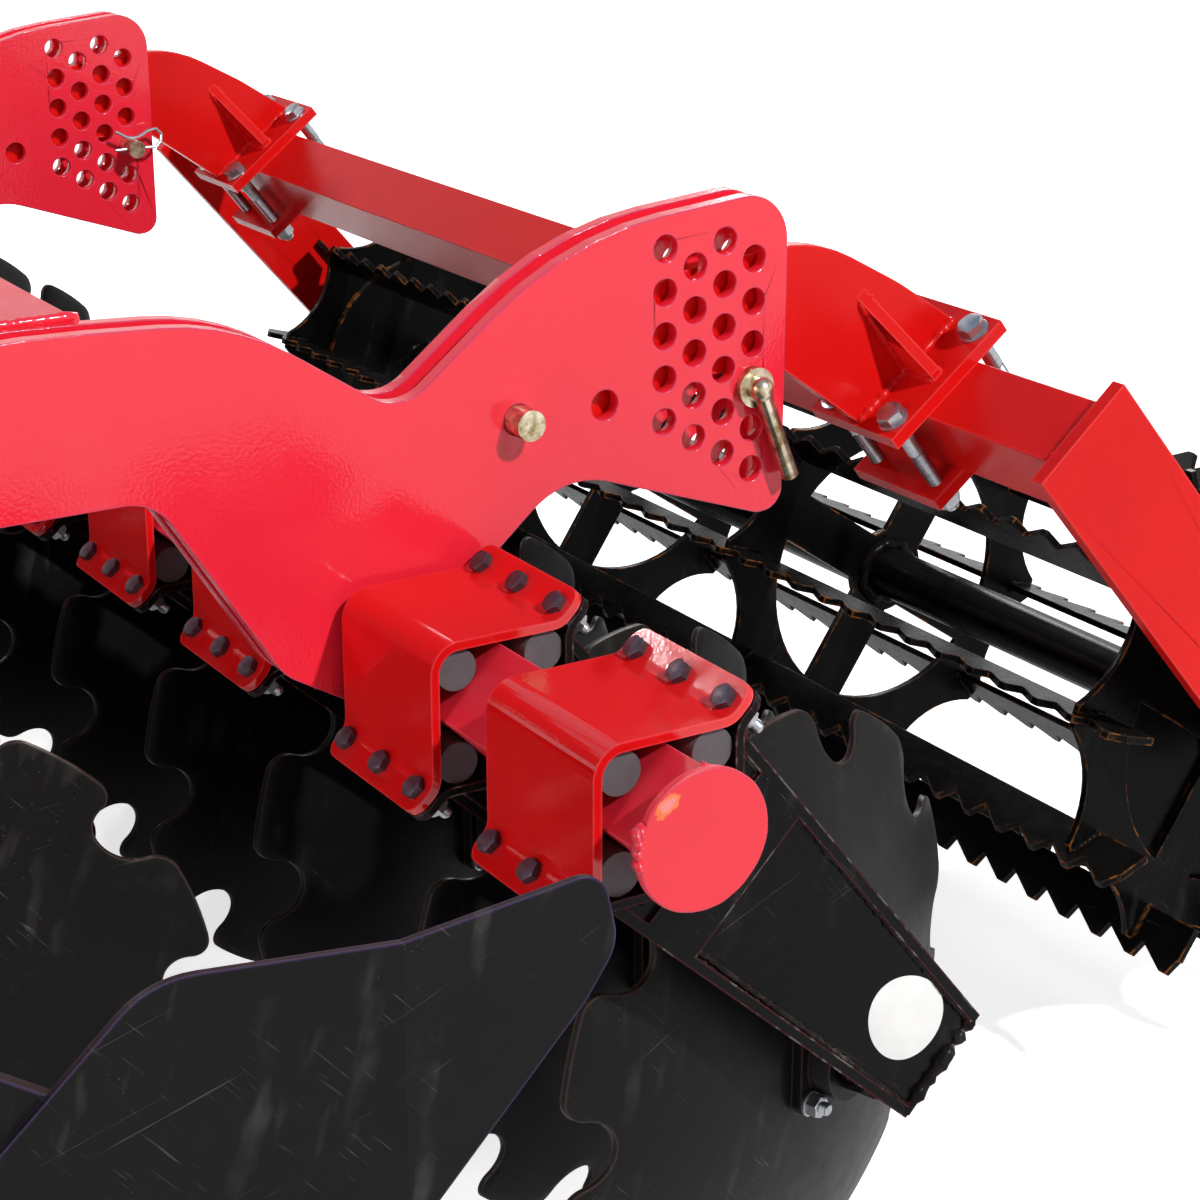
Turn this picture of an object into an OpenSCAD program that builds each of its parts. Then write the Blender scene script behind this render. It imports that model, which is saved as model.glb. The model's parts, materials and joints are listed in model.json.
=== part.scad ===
/* [Disc beams] */
// Length of the front and the rear disc beam
beam_l = 2480; // [2400:10:2700]
// Side of the square beam tube
beam_a = 80; // [74:1:84]
// Wall of the beam tubes
beam_wall = 8; // [5:0.5:12]
// Distance from the front beam to the rear beam
beam_gap = 655; // [620:5:720]
// Radius of the round end caps
cap_r = 57; // [54:1:62]
// Thickness of the end caps
cap_t = 8; // [5:1:12]

/* [Disc units] */
// Spacing of the clamps between the side plates
mid_pitch = 270; // [262:1:280]
// Distance from the machine's middle to the inner one of the outboard clamps
outboard_x = 865; // [862:1:880]
// Spacing of the two outboard clamps
outboard_pitch = 250; // [220:1:270]
// Length of a clamp along the beam
clamp_l = 160; // [140:1:166]
// Thickness of the clamp plates
clamp_t = 8; // [6:0.5:10]
// Half width of the square that the two clamp halves enclose
clamp_h = 60; // [58:0.5:63]
// Bend radius where a clamp side meets its flange
clamp_bend = 16; // [12:1:28]
// Reach of the clamp flanges from the beam axis
flange_reach = 116; // [110:1:124]
// Radius of the corners of the clamp flanges
flange_round = 15; // [8:1:20]
// Gap between the bolted flanges
flange_gap = 2; // [1:0.5:4]
// Gap between a rubber cord and its seats
rubber_gap = 0.15; // [0.1:0.05:0.4]

/* [Disc arms] */
// Length of a disc arm from the beam axis
arm_l = 418; // [410:1:430]
// Width of an arm across its flat side
arm_w = 45; // [36:1:50]
// Inset of the arm's outer face from the clamp's end
arm_inset = 7; // [2:1:12]
// Height of an arm at the clamp
arm_root = 172; // [150:1:180]
// Height of an arm at its end
arm_tip = 108; // [98:1:120]
// Drop of the arm's end below the clamp's middle line
arm_drop = 14; // [8:1:20]
// Wall of an arm
arm_wall = 10; // [7:0.5:12]
// Inset of an arm's side plates from the edges of its top and bottom
arm_lip = 4; // [2:0.5:6]
// Radius of the stub axle
stub_r = 20; // [16:0.5:22]
// Radius of the boss around the stub axle
boss_r = 28; // [24:1:32]

/* [Discs] */
// Diameter of a disc over its teeth
disc_d = 580; // [540:5:600]
// Thickness of a disc
disc_t = 6; // [4:0.5:8]
// Depth of the dish
disc_dish = 62; // [50:1:70]
// Radius of the flat middle of a disc
disc_flat_r = 66; // [60:1:75]
// Number of teeth on a disc
disc_teeth = 10; // [8:1:12]
// Radius of the round bays between the teeth
bay_r = 32; // [26:1:36]
// Distance from the rim to the middle of a bay
bay_inset = 16; // [8:1:20]
// Radius of the rounded shoulders of the teeth
tip_r = 20; // [12:1:26]
// Angle of the disc to the line of travel
disc_yaw = 20; // [14:0.5:22]
// Sideways distance from a clamp's middle to the rim's middle
disc_dx = 85; // [80:1:95]
// Distance of the rim's middle behind the beam
disc_dy = 207; // [202:1:220]
// Distance of the rim's middle below the beam
disc_dz = 314; // [310:1:325]
// Radius of the hub flange over its corners
hub_flange_r = 62; // [56:1:64]
// Side of the square hub flange
hub_flange_a = 98; // [90:1:104]
// Thickness of the hub flange
hub_flange_t = 10; // [8:1:14]
// Radius of the hub
hub_r = 40; // [36:1:44]
// Length of the hub behind its flange
hub_l = 22; // [18:1:24]
// Radial gap between the hub and the stub axle
hub_gap = 0.4; // [0.3:0.1:0.8]

/* [Side plates] */
// Distance from the machine's middle to the outer face of a plate pair
pair_x = 774; // [765:1:776]
// Thickness of a side plate
plate_t = 15; // [12:1:18]
// Gap between the two plates of a pair
plate_gap = 20; // [18:1:24]
// Height of the pivot bore above the beam axis
pivot_z = 190; // [185:1:195]
// Distance of the pivot bore behind the rear beam
pivot_y = 116; // [110:1:120]
// Radius of the pivot pin
pivot_r = 14; // [12:0.5:16]
// Radius of the holes in the setting grid
grid_r = 12.5; // [11:0.5:14]
// Spacing of the holes in a column
grid_row = 40; // [38:0.5:42]
// Spacing of the columns
grid_col = 32.4; // [30:0.1:34]
// Distance of the first column behind the rear beam
grid_y = 270; // [266:1:274]
// Height of the lowest hole above the beam axis
grid_z = 105; // [100:1:108]
// Distance of the spare hole behind the rear beam
spare_y = 206; // [200:1:212]
// Side of the cross tube
cross_a = 120; // [100:1:124]
// Wall of the cross tube
cross_wall = 8; // [5:0.5:12]

/* [Hitch] */
// Distance from the machine's middle to a lower link lug pair
lug_x = 412.5; // [408:0.5:416]
// Clear width between the lugs of a pair
lug_gap = 56; // [50:1:58]
// Thickness of the lugs
lug_t = 14; // [10:1:15]
// Reach of the lower link pins in front of the front beam
lug_reach = 130; // [110:1:160]
// Radius of the lower link bores
link_bore_r = 14.5; // [13:0.1:16]
// Height of the top link bore above the lower link pins
mast_h = 610; // [560:5:680]
// Distance from the machine's middle to the middle of a mast leg
mast_x = 110; // [104:1:120]
// Thickness of the mast legs
mast_t = 16; // [12:1:20]
// Width of the mast legs
mast_w = 110; // [90:1:130]
// Clear width between the top link lugs
top_gap = 52; // [46:1:60]
// Radius of the top link bore
top_bore_r = 12.85; // [12:0.05:16]
// Width of the mast brace
brace_w = 70; // [50:1:90]

/* [Deflector] */
// Distance from the beam's end to the outer face of the side deflector
shield_out = 55.5; // [40:0.5:70]
// Thickness of the side deflector
shield_t = 6; // [4:0.5:8]
// Angle of the bend in the side deflector
shield_bend = 12; // [6:1:14]
// Height of the deflector
shield_h = 460; // [400:5:500]
// Thickness of the deflector's carrier bar
carrier_t = 12; // [8:1:16]
// Width of the carrier bar
carrier_w = 70; // [50:1:80]

/* [Roller frame] */
// Half length of the roller frame tube
roller_x = 989; // [960:1:1020]
// Side of the roller frame tube
rail_a = 76; // [70:1:84]
// Wall of the roller frame tube
rail_wall = 6; // [4:0.5:8]
// Distance of the frame tube behind the rear beam
rail_y = 598; // [590:1:610]
// Height of the frame tube above the beam axis
rail_z = 131; // [125:1:136]
// Slope of the frame tube's top face
rail_tilt = 38; // [34:0.5:42]
// Thickness of the swing arms
swing_t = 16; // [14:0.5:18]
// Length of the flange plates across the tube
foot_l = 162; // [150:1:176]
// Width of the flange plates along the tube
foot_w = 130; // [110:1:150]
// Thickness of the flange plates
foot_t = 14; // [10:1:18]
// Width of the gusset ribs
rib_w = 44; // [36:1:50]
// Thickness of the gusset ribs
rib_t = 12; // [8:1:14]
// Thickness of the end plates
end_t = 15; // [12:1:20]
// Width of the end plates
end_w = 122; // [112:1:130]

/* [Roller] */
// Distance of the roller axis behind the rear beam
roller_y = 915; // [905:1:930]
// Depth of the roller axis below the beam axis
roller_drop = 237; // [225:1:245]
// Radius of the roller over the bar teeth
roller_r = 262; // [250:1:266]
// Radius of the roller discs
spider_r = 247; // [236:1:250]
// Thickness of the roller discs
spider_t = 8; // [6:0.5:10]
// Distance from the machine's middle to the next roller discs
spider_first = 290; // [260:1:320]
// Radius of the shallow hollows in a roller disc's rim
hollow_r = 113; // [100:1:130]
// Depth of these hollows
hollow_d = 29; // [20:1:32]
// Outer radius of the windows in a roller disc
window_r = 165; // [150:1:180]
// Radius of the middle that the spokes of a roller disc spring from
spider_hub_r = 52; // [44:1:70]
// Width of the spokes in a roller disc
spoke_w = 60; // [40:1:70]
// Number of large holes in a roller disc
window_n = 4; // [3:1:4]
// Radius of the roller's middle tube
core_r = 30; // [26:1:38]
// Radius of the roller journals
journal_r = 20; // [16:0.5:24]
// Number of toothed bars
bar_n = 10; // [9:1:12]
// Thickness of the toothed bars
bar_t = 8; // [6:0.5:10]
// Height of the toothed bars
bar_h = 56; // [48:1:58]
// Depth of the saw teeth
tooth_h = 18; // [10:1:20]
// Spacing of the saw teeth
tooth_pitch = 50; // [40:1:60]
// Reach of the bars past the outer roller discs
bar_over = 72; // [50:1:78]
// Gap between the outer roller disc and the end plate
end_gap = 89; // [84:1:100]
// Radius of a bearing housing
bearing_r = 46; // [40:1:52]
// Depth of a bearing housing
bearing_t = 26; // [20:1:30]

/* [Pins] */
// Radius of a lock pin
lock_r = 12; // [10:0.5:12]
// Column of the grid that holds the lock pin
lock_col = 3; // [2:1:3]
// Row of the grid that holds the lock pin
lock_row = 2; // [1:1:3]
// Length of a lock pin's handle
handle_l = 96; // [70:1:110]
// Radius of a lock pin's handle
handle_r = 8; // [6:0.5:9]
// Reach of the pivot pins past the plates
pin_over = 24; // [18:1:30]
// Radial gap of the pins in their bores
pin_gap = 0.3; // [0.2:0.1:0.6]

/* [Hidden] */
$fn = 48;
disc_r = disc_d / 2;
beam_z = disc_dz + disc_r;
clamp_c = clamp_h * sqrt(2);
rubber_r = (clamp_c - beam_a / 2) / (1 + sqrt(2)) - rubber_gap;
rubber_c = beam_a / 2 + rubber_r + rubber_gap;
rubber_l = clamp_l - 10;
bar_turn = 20;
outer_units = [outboard_x + outboard_pitch, outboard_x];
rear_units = concat(outer_units, [for (i = [2 : -1 : -2]) i * mid_pitch], [-outboard_x, -outer_units[0]]);
front_units = [for (i = [2 : len(rear_units) - 1]) rear_units[i]];
roller_reach = roller_y + roller_r * cos(bar_turn - 360 / bar_n);
rear_y = (beam_gap + lug_reach + 34 - roller_reach) / 2;
front_y = rear_y - beam_gap;
link_z = -12;
top_y = 20;
pair_w = 2 * plate_t + plate_gap;
pair_in = pair_x - pair_w;
swing_x = pair_x - plate_t - plate_gap / 2;
grid_rows = [5, 5, 6, 6];
lock_y = grid_y + lock_col * grid_col;
lock_z = grid_z + lock_row * grid_row;
cross_y = -beam_gap / 2;
cross_z = 322 - cross_a / 2;
bend_y = -280;
shield_x = beam_l / 2 + shield_out;
shield_top = 12;
hub_base = disc_dish + disc_t;
stub_in = 6;
arm_face = (disc_dx + clamp_l / 2 - arm_inset - arm_w + arm_lip) / cos(disc_yaw);
stub_len = arm_face + (arm_w - 2 * arm_lip) / cos(disc_yaw) - stub_r * tan(disc_yaw);
boss_len = arm_face - hub_base - hub_flange_t - hub_l - 2;
rail_up = [-sin(rail_tilt), cos(rail_tilt)];
foot_mid = [rail_y, rail_z] + rail_up * (rail_a / 2 + foot_t / 2);
end_run = [roller_y - rail_y, -roller_drop - rail_z];
end_len = norm(end_run);
end_ang = atan2(end_run[1], end_run[0]);
spider_x = roller_x - end_gap;
spider_places = [-spider_x, -spider_first, spider_first, spider_x];

function unit(v) = v / norm(v);
function turn(a, b) = a[0] * b[1] - a[1] * b[0];

// Corner points [x, y, r] become an outline with arcs of radius r
function corner(a, b, c) =
    let (p = [b[0], b[1]], d0 = unit([a[0], a[1]] - p), d1 = unit([c[0], c[1]] - p),
         half = acos(d0 * d1) / 2, reach = b[2] / tan(half), mid = unit(d0 + d1),
         o = p + mid * b[2] / sin(half), s = p + d0 * reach - o, sweep = 180 - 2 * half,
         dir = turn(d0, d1) > 0 ? -1 : 1, n = max(2, ceil(sweep / 7)))
    b[2] <= 0 ? [p] : [for (i = [0 : n]) let (t = dir * sweep * i / n)
        o + [s[0] * cos(t) - s[1] * sin(t), s[0] * sin(t) + s[1] * cos(t)]];
function rounded(p) = let (n = len(p))
    [for (i = [0 : n - 1]) each corner(p[(i + n - 1) % n], p[i], p[(i + 1) % n])];

// A drawing in the side view, drawn from the rear beam's axis and given a thickness across the machine
module across(x0, x1) {
    translate([x0, rear_y, beam_z]) rotate([90, 0, 90]) linear_extrude(x1 - x0) children();
}

module rod(x0, x1, y, z, r) {
    translate([x0, rear_y + y, beam_z + z]) rotate([0, 90, 0]) cylinder(h = x1 - x0, r = r);
}

module both_sides() {
    children();
    mirror([1, 0, 0]) children();
}

module beam_section(a) {
    rotate(45) square(a, center = true);
}

module beam_bar(y) {
    across(-beam_l / 2, beam_l / 2) translate([y, 0]) difference() {
        beam_section(beam_a);
        beam_section(beam_a - 2 * beam_wall);
    }
}

module rear_beam() {
    color("crimson") beam_bar(0);
}

module front_beam() {
    color("crimson") beam_bar(-beam_gap);
}

module beam_caps() {
    color("crimson") both_sides() for (y = [0, -beam_gap])
        rod(beam_l / 2, beam_l / 2 + cap_t, y, 0, cap_r);
}

module cross_tube() {
    color("crimson") across(-pair_in, pair_in) translate([cross_y, cross_z]) difference() {
        square(cross_a, center = true);
        square(cross_a - 2 * cross_wall, center = true);
    }
}

// Outline of a side plate: front lobe, arched waist, rear lobe and the wide rear end with the grid
function plate_outline() = let (f = -beam_gap, m = -beam_gap / 2) rounded([
    [f - 98, 130, 90], [f - 98, -10, 60], [f - 10, -80, 45], [f + 118, -4, 50], [f + 228, 172, 48],
    [-228, 172, 48], [-118, -4, 50], [10, -80, 45], [80, -12, 40], [60, 44, 25], [165, 133, 80],
    [376, 60, 22], [404, 62, 22], [404, 368, 45], [170, 346, 340], [0, 213, 45], [-150, 312, 230],
    [m, 322, 900], [f + 150, 312, 230]]);

module plate_blank() {
    difference() {
        polygon(plate_outline());
        beam_section(beam_a);
        translate([-beam_gap, 0]) beam_section(beam_a);
        translate([pivot_y, pivot_z]) circle(pivot_r + pin_gap);
        translate([spare_y, pivot_z]) circle(pivot_r);
        for (c = [0 : 3]) for (r = [0 : grid_rows[c] - 1])
            translate([grid_y + c * grid_col, grid_z + (r + (3 - c) / 2) * grid_row])
                circle(grid_r);
    }
}

module plate_pair() {
    across(pair_x - plate_t, pair_x) plate_blank();
    across(pair_in, pair_in + plate_t) plate_blank();
}

module side_plates_left() {
    color("crimson") plate_pair();
}

module side_plates_right() {
    color("crimson") mirror([1, 0, 0]) plate_pair();
}

// Each leg wraps the front beam and leans forward to the top link
module mast() {
    f = -beam_gap;
    leg = rounded([[f - 80, -60, 30], [f + 80, -60, 30], [f + 80, 80, 40],
                   [f - top_y + mast_w / 2, link_z + mast_h - 50, 30],
                   [f - top_y - mast_w / 2, link_z + mast_h - 50, 30], [f - 80, 80, 40]]);
    lug = rounded([[f - top_y - 45, link_z + mast_h - 66, 0], [f - top_y + 45, link_z + mast_h - 66, 0],
                   [f - top_y + 45, link_z + mast_h + 42, 40], [f - top_y - 45, link_z + mast_h + 42, 40]]);
    color("crimson") {
        both_sides() across(mast_x - mast_t / 2, mast_x + mast_t / 2) difference() {
            polygon(leg);
            translate([f, 0]) beam_section(beam_a);
        }
        across(-mast_x, mast_x) translate([f - top_y, link_z + mast_h - 68]) square([90, 16], center = true);
        both_sides() across(top_gap / 2, top_gap / 2 + lug_t) difference() {
            polygon(lug);
            translate([f - top_y, link_z + mast_h]) circle(top_bore_r);
        }
    }
}

// Two flat stays from the mast legs back to the cross tube
module mast_brace() {
    top = [-beam_gap - top_y + mast_w / 2, link_z + mast_h - 110];
    foot = [cross_y, cross_z + cross_a / 2];
    x0 = mast_x + mast_t / 2;
    color("crimson") both_sides() across(x0, x0 + mast_t)
        polygon([[foot[0] - brace_w / 2, foot[1]], [foot[0] + brace_w / 2, foot[1]],
                 [top[0], top[1] + brace_w / 2], [top[0] - brace_w / 2, top[1] + brace_w / 2],
                 [top[0] - brace_w / 2, top[1] - brace_w / 2]]);
}

module lower_link_lugs() {
    f = -beam_gap;
    lug = rounded([[f + 75, 75, 30], [f - 40, 75, 60], [f - lug_reach - 34, link_z + 34, 34],
                   [f - lug_reach - 34, link_z - 34, 34], [f - lug_reach + 34, link_z - 34, 20],
                   [f - 30, -78, 40], [f + 75, -78, 30]]);
    color("crimson") both_sides() for (s = [-1, 1])
        across(lug_x + s * (lug_gap + lug_t) / 2 - lug_t / 2, lug_x + s * (lug_gap + lug_t) / 2 + lug_t / 2)
            difference() {
                polygon(lug);
                translate([f, 0]) beam_section(beam_a);
                translate([f - lug_reach, link_z]) circle(link_bore_r);
            }
}

// Section of one clamp half: a V with a round apex whose sides bend out into two flanges
function hat_line(v0, apex, bend, apex_r) = let (k = apex - v0)
    [[-flange_reach, v0, 0], [-k, v0, bend], [0, apex, apex_r], [k, v0, bend], [flange_reach, v0, 0]];

module hat() {
    g = flange_gap / 2;
    top = hat_line(g + clamp_t, clamp_c + clamp_t * sqrt(2), clamp_bend, rubber_r + rubber_gap + clamp_t);
    low = hat_line(g, clamp_c, clamp_bend + clamp_t, rubber_r + rubber_gap);
    polygon(rounded(concat(low, [for (i = [len(top) - 1 : -1 : 0]) top[i]])));
}

module hat_fill() {
    mid = hat_line(flange_gap / 2 + clamp_t / 2, clamp_c + clamp_t / 2, clamp_bend, rubber_r);
    polygon(rounded(concat(mid, [[flange_reach, -1, 0], [-flange_reach, -1, 0]])));
}

// Drawing frame of a clamp at x on the beam at y: flanges on the 45 degree line, apex forward and up
module at_clamp(x, y, x0, x1) {
    across(x + x0, x + x1) translate([y, 0]) rotate(45) children();
}

// One clamp half, its flanges cut with round corners; side is -1 for the lower half
module clamp_half(x, y, side) {
    u = 2 * (flange_reach - flange_round);
    w = clamp_l - 2 * flange_round;
    intersection() {
        at_clamp(x, y, -clamp_l / 2, clamp_l / 2) scale([1, side]) hat();
        translate([x, rear_y + y, beam_z]) rotate([45, 0, 0]) linear_extrude(4 * clamp_c, center = true) {
            square([w, 2 * flange_reach], center = true);
            square([clamp_l, u], center = true);
            for (i = [-1, 1]) for (k = [-1, 1]) translate([i * w, k * u] / 2) circle(flange_round);
        }
    }
}

module upper_clamps(units, y) {
    color("red") for (x = units) clamp_half(x, y, 1);
}

module upper_clamps_rear() {
    upper_clamps(rear_units, 0);
}

module upper_clamps_front() {
    upper_clamps(front_units, -beam_gap);
}

module rubber_cords(units, y) {
    color("dimgray") for (x = units) for (a = [0 : 90 : 270])
        at_clamp(x, y, -rubber_l / 2, rubber_l / 2) rotate(a) translate([rubber_c, 0]) circle(rubber_r);
}

module rubber_cords_rear() {
    rubber_cords(rear_units, 0);
}

module rubber_cords_front() {
    rubber_cords(front_units, -beam_gap);
}

// Disc axis of a rear unit at x; a front unit is its mirror image
module on_disc_axis(x, y, hand) {
    translate([x, rear_y + y + disc_dy, beam_z - disc_dz]) mirror([hand < 0 ? 1 : 0, 0, 0])
        translate([-disc_dx, 0, 0]) rotate([0, 0, disc_yaw]) rotate([0, 90, 0]) children();
}

module arm_side(shrink, over) {
    half = arm_root / 2 - shrink;
    end = arm_tip / 2 - shrink;
    polygon([[-half, -8], [half, -8], [end - arm_drop, -arm_l - over], [-end - arm_drop, -arm_l - over]]);
}

module disc_arm(x, y, hand) {
    out = clamp_l / 2 - arm_inset;
    x0 = hand > 0 ? out - arm_w : -out;
    clamp_half(x, y, -1);
    at_clamp(x, y, x0, x0 + arm_w) difference() {
        arm_side(0, 0);
        mirror([0, 1]) hat_fill();
        difference() {
            arm_side(arm_wall, 1);
            translate([0, -clamp_c]) square([arm_root, 60], center = true);
        }
    }
    for (xs = [x0 + arm_lip, x0 + arm_w - arm_lip - arm_wall])
        at_clamp(x, y, xs, xs + arm_wall) difference() {
            arm_side(0, 0);
            mirror([0, 1]) hat_fill();
        }
    on_disc_axis(x, y, hand) {
        translate([0, 0, hub_base + stub_in]) cylinder(h = stub_len - hub_base - stub_in, r = stub_r);
        translate([0, 0, arm_face - boss_len]) cylinder(h = boss_len + arm_wall / 2, r = boss_r);
    }
}

module disc_arms_rear() {
    color("dimgray") for (x = rear_units) disc_arm(x, 0, 1);
}

module disc_arms_front() {
    color("dimgray") for (x = front_units) disc_arm(x, -beam_gap, -1);
}

// One bay: a round bottom that runs over into the rounded shoulders of the teeth on both sides
module bay() {
    mid = disc_r - bay_inset;
    shoulder = disc_r - tip_r;
    swing = acos((mid * mid + shoulder * shoulder - pow(bay_r + tip_r, 2)) / (2 * mid * shoulder));
    side = [cos(swing), sin(swing)];
    translate([mid, 0]) circle(bay_r);
    difference() {
        polygon([[mid, 0], side * shoulder, side * disc_r * 1.1, [side[0], -side[1]] * disc_r * 1.1,
                 [side[0], -side[1]] * shoulder]);
        translate(side * shoulder) circle(tip_r);
        translate([side[0], -side[1]] * shoulder) circle(tip_r);
    }
}

// A notched dished disc with its hub: the dish is a part of a sphere with a flat middle
module disc(x, y, hand) {
    ball = (disc_r * disc_r + disc_dish * disc_dish) / (2 * disc_dish);
    steps = 10;
    function dish(r) = disc_dish - (ball - sqrt(ball * ball - r * r));
    flat = dish(disc_flat_r);
    rs = [for (i = [0 : steps]) disc_flat_r + (disc_r - disc_flat_r) * i / steps];
    face = [for (r = rs) [r, dish(r) + disc_dish - flat]];
    back = [for (i = [steps : -1 : 0]) [rs[i], face[i][1] + disc_t]];
    color("dimgray") on_disc_axis(x, y, hand) difference() {
        union() {
            rotate_extrude($fn = 96)
                polygon(concat([[0, disc_dish]], face, back, [[0, disc_dish + disc_t]]));
            translate([0, 0, hub_base]) linear_extrude(hub_flange_t) intersection() {
                square(hub_flange_a, center = true);
                circle(hub_flange_r);
            }
            translate([0, 0, hub_base]) cylinder(h = hub_flange_t + hub_l, r = hub_r);
        }
        translate([0, 0, hub_base + 4]) cylinder(h = hub_flange_t + hub_l, r = stub_r + hub_gap);
        for (i = [0 : disc_teeth - 1]) rotate(180 / disc_teeth + i * 360 / disc_teeth)
            translate([0, 0, -disc_dish]) linear_extrude(3 * disc_dish) bay();
    }
}

module at_bend() {
    translate([shield_x, rear_y + bend_y, beam_z]) children();
}

// The deflector: one sheet with an upright bend, its front part turned in
module side_deflector() {
    far = 400;
    front = [-sin(shield_bend), -cos(shield_bend)];
    inward = [-cos(shield_bend), sin(shield_bend)] * shield_t;
    plan = [[0, 0], [0, far], [-shield_t, far], [-shield_t, shield_t * tan(shield_bend / 2)],
            front * far + inward, front * far];
    side = rounded([[0, shield_top, 0], [-166, shield_top + 2, 70], [-325, -154, 60], [-325, -360, 50],
                    [-150, shield_top - shield_h, 60], [0, -219, 0], [143, -74, 70], [171, -34, 36],
                    [158, shield_top + 14, 24]]);
    color("dimgray") at_bend() intersection() {
        translate([0, 0, -2 * far]) linear_extrude(4 * far) polygon(plan);
        translate([-far, 0, 0]) rotate([90, 0, 90]) linear_extrude(2 * far) polygon(side);
    }
}

module deflector_carrier() {
    reach = beam_gap + bend_y + 20;
    color("dimgray") difference() {
        at_bend() rotate([0, 0, -shield_bend]) translate([-shield_t - carrier_t, 0, 0]) rotate([90, 0, 90])
            linear_extrude(carrier_t) polygon([[-reach, carrier_w / 2], [-reach, -carrier_w / 2],
                [-180, -120 - carrier_w / 2], [-100, -120 - carrier_w / 2], [-100, -120 + carrier_w / 2],
                [-200, -120 + carrier_w / 2]]);
        across(-beam_l / 2, beam_l / 2) translate([-beam_gap, 0]) beam_section(beam_a);
        across(-beam_l / 2, beam_l / 2) translate([-beam_gap - 200, 0]) square(400, center = true);
    }
}

module pivot_pins() {
    color("goldenrod") both_sides() {
        rod(pair_in - 8, pair_x + pin_over, pivot_y, pivot_z, pivot_r);
        rod(pair_in - 16, pair_in - 8, pivot_y, pivot_z, pivot_r + 6);
    }
}

module lock_pins() {
    color("goldenrod") both_sides() {
        rod(pair_in - 34, pair_x + 14, lock_y, lock_z, lock_r);
        rod(pair_x, pair_x + 8, lock_y, lock_z, lock_r + 7);
        translate([pair_x + 14, rear_y + lock_y, beam_z + lock_z]) {
            sphere(lock_r);
            rotate([-158, 0, 0]) cylinder(h = handle_l, r = handle_r);
        }
    }
}

module at_rail() {
    translate([rail_y, rail_z]) rotate(rail_tilt) children();
}

module roller_rail() {
    color("red") across(-roller_x, roller_x) at_rail() difference() {
        square(rail_a, center = true);
        square(rail_a - 2 * rail_wall, center = true);
    }
}

// A swing arm: plate from the pivot to the flange on the frame tube, with a saddle over the lock pin
function swing_outline() = let (low = lock_z + lock_r + pin_gap, toe = foot_mid + rail_up * foot_t / 2,
    along = [cos(rail_tilt), sin(rail_tilt)] * foot_l / 2, heel = toe - along * 0.94,
    head = toe + along * 0.82)
    rounded([[pivot_y - 46, pivot_z + 46, 44], [pivot_y - 46, pivot_z - 46, 44],
             [pivot_y + 60, pivot_z - 30, 60], [lock_y - 40, low, 20], [lock_y + 38, low, 12],
             [heel[0], heel[1], 0], [head[0], head[1], 0],
             [lock_y + 181, 258, 200], [lock_y + 81, 312, 160], [lock_y - 60, 300, 150]]);

module swing_arm() {
    across(swing_x - swing_t / 2, swing_x + swing_t / 2) difference() {
        polygon(swing_outline());
        translate([pivot_y, pivot_z]) circle(pivot_r + pin_gap);
    }
    across(swing_x - foot_w / 2, swing_x + foot_w / 2) translate(foot_mid) rotate(rail_tilt)
        square([foot_l, foot_t], center = true);
    translate([swing_x, rear_y + foot_mid[0], beam_z + foot_mid[1]]) rotate([rail_tilt, 0, 0])
        translate([0, rib_t / 2, 0]) rotate([90, 0, 0]) linear_extrude(rib_t)
            both_sides() polygon([[0, 0], [swing_t / 2 + rib_w, 0], [swing_t / 2 + rib_w, foot_t],
                                  [swing_t / 2, foot_t + 95], [0, foot_t + 95]]);
}

module swing_arms() {
    color("red") both_sides() swing_arm();
}

module counter_plates() {
    color("red") both_sides() across(swing_x - foot_w / 2, swing_x + foot_w / 2) at_rail()
        translate([0, -rail_a / 2 - foot_t / 2]) square([foot_l, foot_t], center = true);
}

module roller_end_plates() {
    color("red") both_sides() across(roller_x, roller_x + end_t) translate([rail_y, rail_z]) rotate(end_ang)
        difference() {
            union() {
                translate([-rail_a / 2 - 6, -end_w / 2]) square([end_len + rail_a / 2 + 6, end_w]);
                translate([end_len, 0]) circle(end_w / 2);
            }
            translate([end_len, 0]) circle(journal_r + pin_gap);
        }
}

module roller_bearings() {
    color("dimgray") both_sides() difference() {
        rod(roller_x + end_t, roller_x + end_t + bearing_t, roller_y, -roller_drop, bearing_r);
        rod(roller_x, roller_x + end_t + bearing_t - 6, roller_y, -roller_drop, journal_r + pin_gap);
    }
}

module at_roller(x) {
    translate([x, rear_y + roller_y, beam_z - roller_drop]) rotate([90, 0, 90]) children();
}

// Middle tube, star-shaped discs with four spokes and slots for the bars, and the journals
module roller_core() {
    slot = bar_t + 0.6;
    color("dimgray") {
        at_roller(-spider_x) cylinder(h = 2 * spider_x, r = core_r);
        at_roller(-roller_x - end_t - 10) cylinder(h = 2 * (roller_x + end_t + 10), r = journal_r);
        for (x = spider_places) at_roller(x - spider_t / 2) linear_extrude(spider_t) difference() {
            circle(spider_r, $fn = 96);
            difference() {
                circle(window_r, $fn = 96);
                circle(spider_hub_r);
                for (k = [0 : window_n - 1]) rotate(bar_turn + 360 / bar_n + k * 360 / window_n)
                    translate([0, -spoke_w / 2]) square([window_r + 1, spoke_w]);
            }
            for (k = [0 : bar_n - 1]) rotate(bar_turn + k * 360 / bar_n) {
                translate([roller_r - bar_h - 0.3, -slot / 2]) square([bar_h, slot]);
                rotate(180 / bar_n)
                    translate([spider_r - hollow_d + hollow_r, 0]) circle(hollow_r, $fn = 96);
            }
        }
    }
}

// A flat bar on edge with saw teeth along its outer side
function saw(n, pitch) = [for (i = [0 : n - 1]) each [[i * pitch, tooth_h], [(i + 0.66) * pitch, 0],
    [(i + 0.84) * pitch, 0], [(i + 0.96) * pitch, tooth_h]]];

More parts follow.
